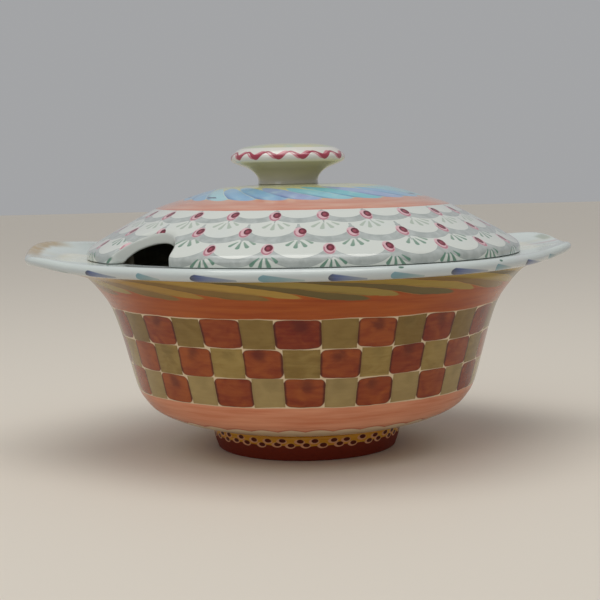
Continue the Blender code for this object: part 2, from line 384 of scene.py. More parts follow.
def add_leaf_strokes(net, ang, height, radius):
    """Slanted leaf strokes under the rim: broad dark ones with blunt ends, olive ones between them."""
    top = RIM_TOP * 1000 - 8.0
    h = ((height - ORANGE_TOP) / (top - ORANGE_TOP)).min(1.0) + ((radius - 152.0) / 16.0).max(0.0)
    w = ang * (LEAF_PAIRS / 360) + h * 0.95 + h * h * 0.12 + 0.22
    k = w.floor()
    f = w - k
    share = 0.56 - h * 0.22
    light = f.above(share)
    t = net.lerp(f / share, (f - share) / (1.0 - share), light)
    r1, r2, r3 = net.random(k.mod(LEAF_PAIRS), light, 4.0)
    dark = net.pick(r1, [srgb(116, 94, 46), srgb(126, 88, 44), srgb(106, 92, 52), srgb(132, 102, 50)])
    olive = net.pick(r2, [srgb(162, 136, 58), srgb(176, 142, 66), srgb(156, 134, 66), srgb(168, 130, 54)])
    grain, _ = net.noise(1.3, 2.0, 31.0, (0.1, 0.1, 1.0))
    broad, _ = net.noise(7.0, 1.0, 32.0, (0.3, 0.3, 1.0))
    colours = net.mix(dark, olive, light)
    colours = net.mix(colours, srgb(176, 142, 74), net.ramp(broad, 0.2, 1.2) * 0.45)
    colours = net.mix(colours, srgb(66, 44, 18), net.ramp(t, 0.3, 0.0) * 0.3 + grain * 0.14)
    gap = net.ramp(abs(t - 0.5), 0.43, 0.5)
    colours = net.mix(colours, srgb(186, 138, 66), gap * net.ramp(r3, 0.1, 0.6) * 0.8)
    scallop = (t - 0.4) * (t - 0.4) * 0.9 - 0.16 + light * 0.16
    net.layer(net.ramp(h - scallop, -0.03, 0.03), colours)


def add_comma_strokes(net, ang, run, fade):
    """Navy commas along the lower half of the rim's rounded edge, with shorter teal ones between."""
    pitch = COMMA_PITCH
    u = (ang + 6.0) / pitch
    i = u.floor()
    teal_one = i.mod(2.0)
    r1, r2, _ = net.random(i.mod(360 / pitch), 9.0)
    x = (u - i) * pitch * (math.pi / 180) * RIM_R * 1000 - r1 * 5.0
    long = 22.0 + r2 * 14.0 - teal_one * 8.0
    t = x / long
    safe = t.max(0.0).min(1.0)
    head = net.math("SQRT", (safe * 9.0).min(1.0))
    thick = head * (1.0 - safe * 0.75) * 2.9
    y = run - 1.7 - safe * 1.6
    blob = net.ramp(abs(y) - thick, 0.3, -0.3) * net.band(t, 0.0, 1.0, 0.01)
    navy = net.blend_colours(t, [(0.0, srgb(22, 28, 56)), (0.18, srgb(50, 72, 130)),
                                 (0.4, srgb(92, 110, 150)), (1.0, srgb(140, 152, 162))])
    teal = net.blend_colours(t, [(0.0, srgb(96, 146, 160)), (0.5, srgb(124, 156, 162)),
                                 (1.0, srgb(160, 178, 178))])
    streak, _ = net.noise(0.9, 2.0, 41.0, (0.08, 0.08, 1.0))
    net.layer(blob * (0.9 + streak * 0.1) * fade, net.mix(navy, teal, teal_one))


def add_green_dabs(net, ang, run, fade):
    """Little dark-green dabs that spill from the lid's pattern on to the rim."""
    pitch = COMMA_PITCH
    u = (ang + PATTERN_TURN) / pitch
    i = u.round()
    r1, r2, r3 = net.random(i.mod(360 / pitch), 13.0)
    x = (u - i) * pitch * (math.pi / 180) * RIM_R * 1000 + (r1 - 0.5) * 9.0
    y = run + 3.0 + (r2 - 0.5) * 1.6
    dab = net.ramp(net.length(x * 0.5, y), 1.15, 0.7) * r3.above(0.45)
    net.layer(dab * fade * 0.9, srgb(58, 104, 82))


def rim_glaze():
    """The bowl's rim, top and inside: off-white glaze with commas on the edge."""
    net = Net("rim_paint", srgb(204, 212, 209))
    x, y, _ = net.split(net.hand(0.8, 0.25))
    ang, run = net.angle(x, y), net.attribute("run")
    tint, _ = net.noise(30.0, 2.0, 51.0)
    net.layer(net.ramp(tint, 0.0, 1.2) * 0.6, srgb(206, 198, 201))
    net.layer(net.ramp(tint, -0.1, -1.2) * 0.5, srgb(196, 208, 192))
    net.layer(net.ramp(run, -22.0, -28.0), INSIDE)
    radius = net.length(x, y)
    reach = net.ramp(radius, RIM_R * 1000 - 2.0, RIM_R * 1000 + 10.0)
    towards_back = abs(ang) - 90.0
    left = 1.0 - ang.above(0.0)
    side, _ = net.noise(4.0, 2.0, 52.0, (0.5, 1.0, 0.5))
    # painted shade in the ears' flute hollows, with a little yellow tint of the glaze
    flute_shade_and_tint = net.ramp(abs(abs(towards_back) - 4.8), 2.6, 0.0)
    net.layer(reach * flute_shade_and_tint * (0.3 + side * 0.3), srgb(200, 198, 172))
    tan = net.ramp(run + side * 1.5, -15.0, -9.0) * net.band(towards_back, 0.0, 15.0, 3.0)
    tan = tan.max(net.ramp(run, -5.5, -3.5) * net.ramp(towards_back, 8.0, 14.0) * 0.6)
    net.layer(tan * reach * left * (0.75 + side * 0.2), srgb(168, 142, 102))
    ridge = net.ramp(abs(towards_back - 1.5), 0.8, 0.2) * (1.0 - left)
    net.layer(ridge * reach * (0.55 + side * 0.4), srgb(186, 150, 152))
    spot = net.ramp(abs(towards_back - 6.0), 3.0, 1.0) * net.band(run, -12.0, -5.5, 1.5) * (1.0 - left)
    net.layer(spot * reach * 0.7, srgb(150, 158, 142))
    # painted shade: the lower, downward-facing half of the rim's rounded edge is painted a darker, bluer
    # white
    net.layer(net.ramp(run, -1.5, 0.5) * net.ramp(run, 6.0, 4.0) * 0.75, srgb(190, 198, 200))
    on_rim = net.ramp(radius, RIM_R * 1000 + 19.0, RIM_R * 1000 + 12.0)
    add_comma_strokes(net, ang, run, on_rim)
    add_green_dabs(net, ang, run, net.ramp(radius, RIM_R * 1000 + 6.0, RIM_R * 1000 + 3.0))
    return net.finish(0.13)


def wall_glaze():
    """The bowl's outside, below its rim."""
    net = Net("wall_paint", CREAM)
    x, y, z = net.split(net.hand(1.1, 0.28))
    ang, radius = net.angle(x, y), net.length(x, y)
    add_bands(net, ang, z)
    add_checks(net, ang, z, radius)
    add_leaf_strokes(net, ang, z, radius)
    scallop = radius - 86.0 + abs((ang * (PINK_SCALLOPS / 2 * math.pi / 180)).sin()) * 3.0
    under = net.ramp(z, 26.4, 25.6)
    net.layer(under * net.ramp(scallop, 0.4, -0.4), srgb(198, 140, 46))
    return net.finish(0.2, coat=0.08, specular=0.32)


def foot_glaze():
    """The foot: bare red clay below, a mustard band with dots above."""
    net = Net("foot_paint", srgb(106, 28, 4))
    x, y, z = net.split(net.hand(0.7, 0.25))
    ang, radius = net.angle(x, y), net.length(x, y)
    clay, _ = net.noise(3.0, 4.0, 61.0, (1.0, 1.0, 2.5))
    speck, _ = net.noise(0.8, 2.0, 62.0)
    net.layer(net.ramp(clay, -0.6, 1.0) * 0.6, srgb(124, 40, 10))
    net.layer(net.ramp(speck, 0.7, 1.0) * 0.5, srgb(60, 22, 14))
    outside = net.ramp(radius, FOOT_R * 1000 - 6.0, FOOT_R * 1000 - 4.0)
    edge = FOOT_PAINT + abs((ang * (FOOT_DOTS * math.pi / 360)).sin()) * 0.8
    glazed = net.ramp(z - edge, -0.15, 0.25) * outside
    net.layer(glazed, streaked(net, srgb(196, 130, 18), srgb(222, 168, 62), 63.0))
    for row, (height, shift) in enumerate(((11.4, 0.0), (14.4, 0.5))):
        u = ang * (FOOT_DOTS / 360) + shift
        i = u.round()
        r1, r2, _ = net.random(i.mod(FOOT_DOTS), 20.0 + row)
        dx = (u - i) * (2 * math.pi * FOOT_R * 1000 / FOOT_DOTS) + (r1 - 0.5) * 2.6
        dy = z - height + (r2 - 0.5) * 0.8
        net.layer(net.ramp(net.length(dx * 0.5, dy + 0.4), 2.0, 1.6) * outside, srgb(216, 160, 120))
        net.layer(net.ramp(net.length(dx * 0.5 - 0.3, dy * 0.85), 1.35, 1.05) * outside, srgb(84, 24, 8))
    material = net.finish(bump=0.0003, coat=0.0, specular=0.3)
    gloss = net.lerp(0.72, 0.2, glazed)
    net.feed(net.shader.inputs["Roughness"], gloss)
    return material


def add_blue_ring(net, ang, run, rings):
    """Slanted overlapping strokes in turquoise, sky blue and periwinkle."""
    inner, outer = rings
    h = (run - inner) / (outer - inner)
    w = ang * (BLUE_STROKES / 360) - h * 2.3 + h * h * 0.3
    k = w.floor()
    t = w - k
    r1, r2, r3 = net.random(k.mod(BLUE_STROKES), 31.0)
    colours = net.pick(r1, [srgb(134, 196, 208), srgb(112, 188, 198), srgb(146, 168, 206),
                            srgb(160, 208, 216), srgb(128, 176, 210)])
    grain, _ = net.noise(1.6, 2.0, 71.0, (0.3, 0.3, 1.0), 0.4)
    wash, _ = net.noise(9.0, 2.0, 72.0)
    colours = net.mix(colours, srgb(182, 214, 214), net.ramp(wash, -0.1, 0.9) * 0.5)
    shade = net.ramp(t, 0.34, 0.0) * net.ramp(h, 0.25, 0.95) * 0.75 + grain * 0.08
    colours = net.mix(colours, srgb(70, 112, 164), shade)
    colours = net.mix(colours, srgb(206, 212, 190), net.ramp(t, 0.93, 1.0) * net.ramp(r2, 0.3, 0.8) * 0.7)
    ends = (t - 0.5) * (t - 0.5) * 0.5
    inner_end = net.ramp(h - ends * 2.4 - (r2 - 0.5) * 0.24, -0.04, 0.06)
    net.layer(net.ramp(h + ends, 1.12, 1.05) * inner_end, colours)
    mark = net.ramp(abs(h - 0.86), 0.07, 0.03) * net.ramp(abs(t - 0.3), 0.26, 0.18) * r3.above(0.6)
    net.layer(mark * 0.85, srgb(40, 54, 96))


def add_scales(net, ang, run, start):
    """Rows of fish scales outlined in grey, with a rosebud where two meet and leaves inside each."""
    cell = 360 / SCALES_ROUND
    run = run - start
    to_mm = (run + start) * (0.93 * cell * math.pi / 180)

    def across(row):
        """Cells from the nearest scale's middle in this row, and the scale's number."""
        u = (ang + PATTERN_TURN) / cell + row.mod(2.0) * 0.5
        i = u.round()
        return u - i, i.mod(SCALES_ROUND)

    def by_row(row, column):
        """A column of SCALE_ROWS for a row number."""
        first, second, third = (values[column] for values in SCALE_ROWS)
        return row.min(1.0) * (second - first) + (row - 1.0).max(0.0) * (third - second) + first

    # outlines: the curve of each row hangs from peaks at its own two ends
    row = run.above(17.6) + run.above(40.6)
    bottom, depth, half = (by_row(row, column) for column in (1, 2, 3))
    x, i = across(row + 1.0)
    wide = (abs(x) * 2.0).min(0.985)
    rise = net.math("SQRT", 1.0 - wide * wide)
    curve_at = bottom - depth * (1.0 - rise)
    slope = depth * 2.0 * wide / rise / to_mm
    off = abs(run - curve_at) / net.math("SQRT", slope * slope + 1.0)
    stem = (0.5 - abs(x)) * to_mm
    r1, _, _ = net.random(i, row, 7.0)
    broad = half + (r1 - 0.5) * 0.9
    line = net.ramp(off - broad, 0.35, -0.35)
    peak = net.ramp(stem - 1.7, 0.4, -0.4) * net.band(run, bottom - depth - 3.2, bottom - depth + 4.0, 0.4)
    mask = line.max(peak) * net.ramp(run, -0.2, 0.4)
    wash, _ = net.noise(6.0, 3.0, 81.0, (1.0, 1.0, 1.0), 0.5)
    greys = net.mix(srgb(158, 165, 162), srgb(184, 190, 187), net.ramp(wash, -0.7, 0.7))
    net.layer(mask * 0.95, greys)
    net.layer(net.ramp(abs(off - broad), 0.5, 0.15) * mask * 0.45, srgb(126, 137, 137))

    # leaves hang in the scale below each bud
    row = run.above(33.0) + run.above(52.6)
    bx, bi = across(row)
    r1, r2, r3 = net.random(bi, row, 5.0)
    px = bx * to_mm + (r1 - 0.5) * 1.6
    py = run - by_row(row, 0) + (r2 - 0.5) * 1.8
    qx = px - py * (r3 - 0.5) * 0.4
    leaves = None
    for tip, root, fat, thin in LEAVES:
        leaf = net.segment(qx, py, tip, root, fat, thin)
        leaves = leaf if leaves is None else leaves.min(leaf)
    greener = net.ramp(run, 22.0, 52.0)
    leaf_colour = net.mix(srgb(164, 178, 162), srgb(92, 134, 114), greener)
    net.layer(net.ramp(leaves, 0.4, -0.2) * net.lerp(0.8, 0.95, greener), leaf_colour)

    # each bud sits on a peak
    row = run.above(18.0) + run.above(38.0)
    bx, bi = across(row)
    r1, r2, r3 = net.random(bi, row, 3.0)
    px = bx * to_mm + (r1 - 0.5) * 1.6
    py = run - by_row(row, 0) + (r2 - 0.5) * 1.8
    bud = net.length(px * 1.1, py * 0.7)
    net.layer(net.ramp(bud, 4.3, 3.8), srgb(216, 176, 182))
    petal = net.ramp(abs(bud - 3.3), 0.75, 0.3) * net.ramp(py - px * 0.8, -0.8, 1.2)
    net.layer(petal * 0.75, srgb(164, 92, 108))
    core_x, core_y = px - 1.0 + (r3 - 0.5) * 1.2, (py + 1.2) * 0.7
    core = net.length(core_x * 1.05, core_y)
    net.layer(net.ramp(core, 2.7, 2.3), srgb(112, 28, 48))
    net.layer(net.ramp(net.length(core_x + 0.3, core_y), 1.3, 0.7) * 0.6, srgb(170, 74, 92))
    dark = net.ramp(abs(core - 2.1), 0.6, 0.2) * net.ramp(core_x + core_y, 0.6, -1.6)
    net.layer(dark * 0.7, srgb(66, 14, 30))


def lid_glaze(run_at):
    """The lid: a yellow-green ring, blue strokes, a peach band and rows of scales. run_at gives the
    distance along the lid's top of a radius in millimetres."""
    yellow, blue, peach = (run_at(r) for r in (YELLOW_OUT, BLUE_OUT, PEACH_OUT))
    net = Net("lid_paint", WHITE)
    x, y, _ = net.split(net.hand(1.0, 0.3))
    ang = net.angle(x, y)
    wander, _ = net.noise(34.0, 1.0, 91.0)
    fine, _ = net.noise(5.0, 1.0, 92.0)
    run = net.attribute("run") + wander * 0.5 + fine * 0.15
    tint, _ = net.noise(24.0, 2.0, 93.0)
    net.layer(net.ramp(tint, 0.0, 1.2) * 0.5, srgb(202, 212, 213))
    add_scales(net, ang, run, peach)
    peach_paint = streaked(net, srgb(200, 127, 99), srgb(213, 165, 142), 94.0, 1.6, 30.0)
    net.layer(net.ramp(run, peach + 0.3, peach - 0.1), peach_paint)
    net.layer(net.ramp(abs(run - peach + 1.0), 1.0, 0.3) * 0.5, srgb(196, 110, 90))
    inner = net.mix(srgb(202, 202, 132), srgb(196, 200, 156), net.ramp(tint, -0.6, 0.8))
    net.layer(net.ramp(run, blue + 0.4, blue - 0.2), inner)
    add_blue_ring(net, ang, run, (yellow - 1.0, blue))
    wall = net.attribute("wall")
    net.layer(net.ramp(wall, 0.25, 0.75), srgb(206, 210, 204))
    return net.finish(0.13)


def knob_glaze():
    """The knob: a red twisted wavy line round a white dome with a pale crown, and painted shade under its cap
    and on its neck.
    """
    net = Net("knob_paint", srgb(216, 214, 206))
    x, y, _ = net.split(net.hand(0.5, 0.18))
    ang, run = net.angle(x - KNOB_X * 1000, y - KNOB_Y * 1000), net.attribute("run")
    tint, _ = net.noise(12.0, 2.0, 101.0)
    crown = net.mix(srgb(176, 190, 168), srgb(196, 192, 150), net.ramp(tint, -0.5, 0.6))
    crown = net.mix(crown, srgb(168, 188, 192), net.ramp(tint, -0.3, -0.9))
    net.layer(net.ramp(run, 31.5, 29.5), crown)
    phase = ang * (KNOB_WAVES * math.pi / 180)
    middle = 38.0
    for shift, colour, wide in ((1.1, srgb(198, 124, 134), 0.45), (0.0, srgb(158, 56, 74), 0.7)):
        line = abs(run - middle - (phase + shift).sin() * 2.2)
        thick = (phase * 0.5 - 0.8).cos()
        net.layer(net.ramp(line - thick * thick * 1.1, wide + 0.35, wide - 0.25), colour)
    # painted shade: the underside of the knob's cap is painted darker, and the neck below it a lighter,
    # yellower painted shade
    under = net.ramp(run, 43.0, 45.6)
    net.layer(under * 0.85, srgb(176, 172, 156))
    net.layer(net.ramp(run, 56.0, 64.0), srgb(200, 195, 178))
    return net.finish(0.13)


def plain_glaze(name, colour):
    net = Net(name, colour)
    tint, _ = net.noise(16.0, 2.0, 111.0)
    net.layer(net.ramp(tint, 0.0, 1.0) * 0.5, srgb(206, 200, 180))
    return net.finish(0.2)


# ---- meshes ---------------------------------------------------------------------------------------
def curve(points, steps):
    """A smooth curve through (radius, height) points."""
    p = np.array([points[0], *points, points[-1]], float)
    out = []
    for i in range(1, len(p) - 2):
        for t in np.arange(steps) / steps:
            out.append(0.5 * (2 * p[i] + (p[i + 1] - p[i - 1]) * t
                              + (2 * p[i - 1] - 5 * p[i] + 4 * p[i + 1] - p[i + 2]) * t * t
                              + (3 * p[i] - 3 * p[i + 1] + p[i + 2] - p[i - 1]) * t ** 3))
    out.append(p[-1])
    return np.array(out)


def arc(centre, radius, start, end, steps):
    angles = np.radians(np.linspace(start, end, steps + 1))
    return np.column_stack([centre[0] + radius * np.cos(angles), centre[1] + radius * np.sin(angles)])


def along(points):
    """Distance along a row of points."""
    steps = np.linalg.norm(np.diff(points, axis=0), axis=1)
    return np.concatenate([[0.0], np.cumsum(steps)])


def directions(count):
    """Unit vectors round the pot, and their angles in degrees from the front."""
    angles = np.arange(count) * 360.0 / count
    turns = np.radians(angles)
    return np.sin(turns), -np.cos(turns), (angles + 180) % 360 - 180


def skin(name, rings, values, material_of=None, close_start=False, close_end=False, loop=False):
    """A mesh from rings of points, each ring closed round the pot. values holds named numbers, one for
    each point. A closed end gets one point in its middle; loop joins the last ring to the first."""
    rows, columns, _ = rings.shape
    points = list(rings.reshape(-1, 3))
    data = {key: list(v.reshape(-1)) for key, v in values.items()}
    faces, kinds = [], []
    last = rows if loop else rows - 1
    for r in range(last):
        for c in range(columns):
            d = (c + 1) % columns
            n = (r + 1) % rows
            faces.append((r * columns + c, n * columns + c, n * columns + d, r * columns + d))
            kinds.append(r)
    for close, row, turn in ((close_start, 0, 1), (close_end, rows - 1, -1)):
        if not close:
            continue
        middle = len(points)
        points.append(rings[row].mean(axis=0))
        for key in data:
            data[key].append(float(values[key][row].mean()))
        for c in range(columns):
            d = (c + 1) % columns
            pair = (row * columns + c, row * columns + d)
            faces.append((middle, *pair[::turn]))
            kinds.append(row if turn == 1 else row - 1)
    mesh = bpy.data.meshes.new(name)
    mesh.from_pydata([tuple(p) for p in points], [], faces)
    for key, numbers in data.items():
        layer = mesh.attributes.new(key, "FLOAT", "POINT")
        layer.data.foreach_set("value", np.array(numbers, np.float32))
    if material_of is not None:
        mesh.polygons.foreach_set("material_index", [material_of(k) for k in kinds])
    mesh.validate()
    mesh.shade_smooth()
    piece = bpy.data.objects.new(name, mesh)
    bpy.context.scene.collection.objects.link(piece)
    return piece


def wobble(rings, amount, seed):
    """A thrown pot is never quite true: slow waves round it, a fraction of a millimetre high."""
    rng = np.random.default_rng(seed)
    angle = np.arctan2(rings[..., 1], rings[..., 0])
    radius = np.hypot(rings[..., 0], rings[..., 1])
    swell = np.zeros_like(angle)
    for k in (2, 3, 5):
        swell += rng.normal() * np.cos(k * angle + rng.uniform(0, 6.28) + rings[..., 2] * 25) / k
    grown = 1 + amount * swell / np.maximum(radius, 0.02)
    rings[..., 0] *= grown
    rings[..., 1] *= grown
    return rings


def ear_breadth(offset):
    """1 at an ear's middle falling to 0 at its two ends, by the angle from the middle."""
    return np.where(np.abs(offset) < EAR_HALF_ANGLE, np.cos(np.radians(90 * offset / EAR_HALF_ANGLE)), 0)


def ear_outline(offset):
    """How far the ears stand out past the rim, by the angle from the nearest ear's middle."""
    broad = ear_breadth(offset) ** 2
    tip = np.exp(-(offset / EAR_TIP_ANGLE) ** 4)
    return EAR_REACH * (broad + (tip - broad) * EAR_TIP_SHARE)


def ear_height(offset, out, back_lift):
    """The ear's top above the rim: ridges that curl up with hollow flutes between them, the back
    edge a little more than the front one."""
    broad = ear_breadth(offset)
    arch = np.exp(-(offset / (RIDGE_ANGLE * 2)) ** 4)
    hollow = np.cos(np.radians(90 * offset / RIDGE_ANGLE)) ** 2
    towards_back = (1 + np.tanh((offset - EAR_CURL[0]) / EAR_CURL[1])) / 2
    curl = back_lift * broad ** 0.6 * towards_back
    return out ** 1.5 * (arch * (EAR_LIFT - FLUTE_DEPTH * hollow) + curl)


def make_bowl():
    """Bowl and ears as one glazed skin, from the middle of the floor inside to the middle underneath."""
    sin, minus_cos, angles = directions(ROUND_STEPS * 2)
    offset = np.abs(angles) - 90
    reach = ear_outline(offset)
    inner = curve([(0.004, 0.0265), (0.060, 0.0272), (0.082, 0.0295), (0.0965, 0.0345), (0.106, 0.0425),
                   (0.112, 0.054), (0.1172, 0.070), (0.1222, 0.088), (0.128, 0.106), (0.135, 0.119),
                   (SEAT_R - 0.0022, RIM_TOP - 0.0060)], 4)
    lip = arc((SEAT_R + 0.0015, RIM_TOP - 0.0035), 0.0035, 165, 95, 5)
    outer = curve([(0.1525, 0.1245), (0.1455, 0.1170), (0.1362, 0.1036), (0.1294, 0.0847), (0.1242, 0.0651),
                   (0.1189, 0.0460), (0.1146, 0.0380), (0.1082, 0.0310), (0.0973, 0.0253), (0.0830, 0.0208),
                   (FOOT_R - 0.001, FOOT_TOP + GAP), (0.050, FOOT_TOP + GAP), (0.004, FOOT_TOP + GAP)], 5)
    edge_start = RIM_R - RIM_EDGE
    back_lift = np.where(angles < 0, *EAR_BACK_LIFT)
    tops, edges, unders = 18, 12, 9

    def height_at(radius):
        out = np.clip((radius - edge_start) / np.maximum(reach, 0.004), 0, 1)
        return RIM_TOP + ear_height(offset, out, back_lift)

    rings = []
    for r, z in np.concatenate([inner, lip]):
        rings.append((np.full_like(sin, r), np.full_like(sin, z)))
    for t in np.linspace(0, 1, tops + 1)[1:-1]:
        radius = SEAT_R + 0.0015 + (edge_start + reach - SEAT_R - 0.0015) * t
        rings.append((radius, height_at(radius) - 0.0002))
    edge = RIM_EDGE - 0.0009 * np.clip(reach / EAR_REACH, 0, 1)
    centre_r, centre_z = edge_start + reach, height_at(edge_start + reach) - edge
    for a in np.radians(np.linspace(90, -90, edges + 1)):
        rings.append((centre_r + edge * np.cos(a), centre_z + edge * np.sin(a)))
    first_under = len(rings)
    for t in np.linspace(0, 1, unders + 1)[1:]:
        radius = centre_r + (outer[0][0] - centre_r) * t
        drop = height_at(radius) - 2 * edge
        rings.append((radius, drop + (outer[0][1] - drop) * t ** 2.2))
    for r, z in outer[1:]:
        rings.append((np.full_like(sin, r), np.full_like(sin, z)))
    radii = np.array([r for r, _ in rings])
    heights = np.array([z for _, z in rings])
    points = np.stack([radii * sin, radii * minus_cos, heights], axis=2)
    steps = np.hypot(np.diff(radii, axis=0), np.diff(heights, axis=0))
    run = np.vstack([np.zeros(radii.shape[1]), np.cumsum(steps, axis=0)])
    middle = first_under - 1 - edges // 2
    run = (run - run[middle]) * 1000
    rim_end = first_under - 2
    bowl = skin("bowl_shell", wobble(points, 0.0003, 4), {"run": run},
                lambda row: 0 if row < rim_end else 1, close_start=True, close_end=True)
    bowl.data.materials.append(rim_glaze())
    bowl.data.materials.append(wall_glaze())
    return bowl


def turned(name, profile, material, centre=(0.0, 0.0), count=ROUND_STEPS, loop=False, seed=1, amount=0.00015):
    """A turned piece whose run is the distance along its profile from the first point."""
    sin, minus_cos, _ = directions(count)
    rings = np.stack([np.outer(profile[:, 0], sin), np.outer(profile[:, 0], minus_cos),
                      np.repeat(profile[:, 1:2], count, axis=1)], axis=2)
    rings = wobble(rings, amount, seed)
    rings[..., 0] += centre[0]
    rings[..., 1] += centre[1]
    run = np.repeat(along(profile)[:, None] * 1000, count, axis=1)
    piece = skin(name, rings, {"run": run}, close_start=not loop, close_end=not loop, loop=loop)
    piece.data.materials.append(material)
    return piece


def make_foot():
    table_r = FOOT_R - FOOT_BATTER
    inner_r = table_r - FOOT_WALL
    profile = np.concatenate([
        [(inner_r - 0.002, FOOT_TOP), (inner_r + 0.004, FOOT_TOP), (FOOT_R - 0.0006, FOOT_TOP)],
        curve([(FOOT_R - 0.0002, FOOT_TOP - 0.0008), (FOOT_R - 0.0014, 0.012), (table_r + 0.0016, 0.006),
               (table_r + 0.0002, 0.0022)], 4),
        arc((table_r - 0.0015, 0.0015), 0.0015, 0, -90, 5),
        arc((inner_r + 0.0015, 0.0015), 0.0015, -90, -180, 5)])
    return turned("foot", profile, foot_glaze(), loop=True, seed=2)


LID_TOP = [(0.004, 0.1842), (0.033, 0.1842), (0.056, 0.1825), (0.069, 0.1797), (0.0826, 0.1756),
           (0.1022, 0.1694), (0.1218, 0.1592), (0.137, 0.1508), (0.1455, 0.1457), (0.1493, 0.1431),
           (0.1520, 0.1412)]
LID_UNDER = [(0.004, 0.1762), (0.033, 0.1760), (0.056, 0.1742), (0.069, 0.1714), (0.0826, 0.1672),
             (0.1022, 0.1604), (0.1218, 0.1502), (0.133, 0.1440), (0.1395, 0.1388), (0.1425, 0.1362),
             (0.1520, 0.1362)]


def lid_boundary(count):
    """The lid's outline from above as a closed row of points: a circle with the ladle notch, whose
    corners at the lid's edge are rounded."""
    half, fillet = NOTCH_HALF, 0.006
    centre = LID_R - NOTCH_DEPTH + half     # the notch is an arc of a circle round (0, centre)
    # the fillet's circle touches the notch from outside and the lid's edge from inside
    reach, far = half + fillet, LID_R - fillet
    corner_y = (far * far - reach * reach + centre * centre) / (2 * centre)
    corner_x = math.sqrt(far * far - corner_y * corner_y)
    notch_end = math.atan2(corner_y - centre, corner_x)
    edge_start = math.atan2(corner_x, corner_y)
    notch_turns = np.linspace(-math.pi / 2, notch_end, 44)
    fillet_turns = np.linspace(notch_end + math.pi, math.pi / 2 - edge_start, 14)[1:]
    edge_turns = np.linspace(edge_start, math.pi, count // 2)[1:]
    right = np.vstack([
        np.column_stack([half * np.cos(notch_turns), centre + half * np.sin(notch_turns)]),
        np.column_stack([corner_x + fillet * np.cos(fillet_turns), corner_y + fillet * np.sin(fillet_turns)]),
        np.column_stack([LID_R * np.sin(edge_turns), LID_R * np.cos(edge_turns)])])
    left = right[-2:0:-1] * (-1, 1)
    loop = np.vstack([right, left])
    turn = math.radians(NOTCH_ANGLE)
    out = np.array([math.sin(turn), -math.cos(turn)])
    side = np.array([math.cos(turn), math.sin(turn)])
    return loop[:, :1] * side + loop[:, 1:] * out


def make_lid():
    """The lid: rings that follow its outline near the edge and turn to circles further in."""
    outline = lid_boundary(600)
    count = len(outline)
    step = np.roll(outline, -1, axis=0) - np.roll(outline, 1, axis=0)
    inward = np.column_stack([-step[:, 1], step[:, 0]])
    inward /= np.linalg.norm(inward, axis=1)[:, None]
    inward *= -np.sign((inward * outline).sum(axis=1).mean())
    smooth_top, smooth_under = curve(LID_TOP, 8), curve(LID_UNDER, 6)
    lengths = along(smooth_top) * 1000

    def run_at(radius_mm):
        return float(np.interp(radius_mm / 1000, smooth_top[:, 0], lengths))

    in_notch = np.clip((LID_R - np.hypot(*outline.T)) / 0.004, 0, 1)
    inner_circle = 0.095
    edge_steps = np.radians(np.linspace(0, 90, 9))

    def rows(surface, up, soft):
        """Rings from the middle of the edge, over its rounding and in to the lid's axis."""
        made = []
        for a in edge_steps:
            xy = outline + inward * (soft * (1 - math.cos(a)))[:, None]
            z = np.interp(np.hypot(*xy.T), surface[:, 0], surface[:, 1])
            made.append((xy, z - up * soft * (1 - math.sin(a))))
        base = made[-1][0]
        angle = np.arctan2(base[:, 0], -base[:, 1])
        circle = np.column_stack([np.sin(angle), -np.cos(angle)]) * inner_circle
        for t in np.linspace(0, 1, 26)[1:]:
            xy = base + (circle - base) * t
            made.append((xy, np.interp(np.hypot(*xy.T), surface[:, 0], surface[:, 1])))
        for r in np.linspace(inner_circle, 0.004, 30)[1:]:
            level = np.interp(r, surface[:, 0], surface[:, 1])
            made.append((circle * (r / inner_circle), np.full(count, level)))
        return made

    over = rows(smooth_top, 1, 0.0026 + in_notch * 0.0002)
    under = rows(smooth_under, -1, 0.0006 + in_notch * 0.0016)
    points = np.array([np.column_stack([xy, z]) for xy, z in over[::-1] + under])
    edge_row = len(over) - 1
    run = np.interp(np.hypot(points[..., 0], points[..., 1]), smooth_top[:, 0], lengths)
    base_row = edge_row - len(edge_steps) + 1
    steps = np.linalg.norm(np.diff(points[base_row:], axis=0), axis=2) * 1000
    run[base_row + 1:] = run[base_row] + np.cumsum(steps, axis=0)
    wall = np.zeros(run.shape)
    wall[edge_row - 2:] = in_notch * 1.2
    wall[edge_row + 5:] = 1.0
    lid = skin("lid_shell", wobble(points, 0.00015, 6), {"run": run, "wall": wall},
               close_start=True, close_end=True)
    lid.data.materials.append(lid_glaze(run_at))
    return lid


def make_flange():
    """The locating ring under the lid: a turned ring, open at the ladle notch, with rounded ends."""
    outer_r, low = FLANGE_HIGH.x, FLANGE_LOW.z
    inner_r = outer_r - FLANGE_WALL
    round_r = 0.0020
    top_in = 0.1464
    top_out = 0.1415
    section = np.concatenate([
        [(inner_r, top_in), (outer_r - 0.0015, top_out), (outer_r, RIM_TOP)],
        arc((outer_r - 0.003, low + round_r), round_r, 0, -90, 5),
        arc((inner_r + round_r, low + round_r), round_r, -90, -180, 5)])
    centre = section.mean(axis=0)
    half_gap = math.degrees(math.asin((NOTCH_HALF + NOTCH_LIP) / outer_r))
    angles = np.radians(np.linspace(NOTCH_ANGLE + half_gap, NOTCH_ANGLE + 360 - half_gap, 260))
    rings = []
    for k, a in enumerate(angles):
        from_end = min(k, len(angles) - 1 - k)
        grow = math.sin(math.radians(min(90, 25 + from_end * 20)))
        shape = centre + (section - centre) * grow
        rings.append(np.column_stack([shape[:, 0] * math.sin(a), -shape[:, 0] * math.cos(a), shape[:, 1]]))
    rings = np.array(rings)
    run = np.zeros(rings.shape[:2])
    flange = skin("flange", rings, {"run": run}, close_start=True, close_end=True)
    # painted shade: the flange is given a darker glaze than the lid's white, so that it reads as shade where
    # it shows through the ladle notch
    flange.data.materials.append(plain_glaze("flange_glaze", srgb(150, 142, 124)))
    return flange


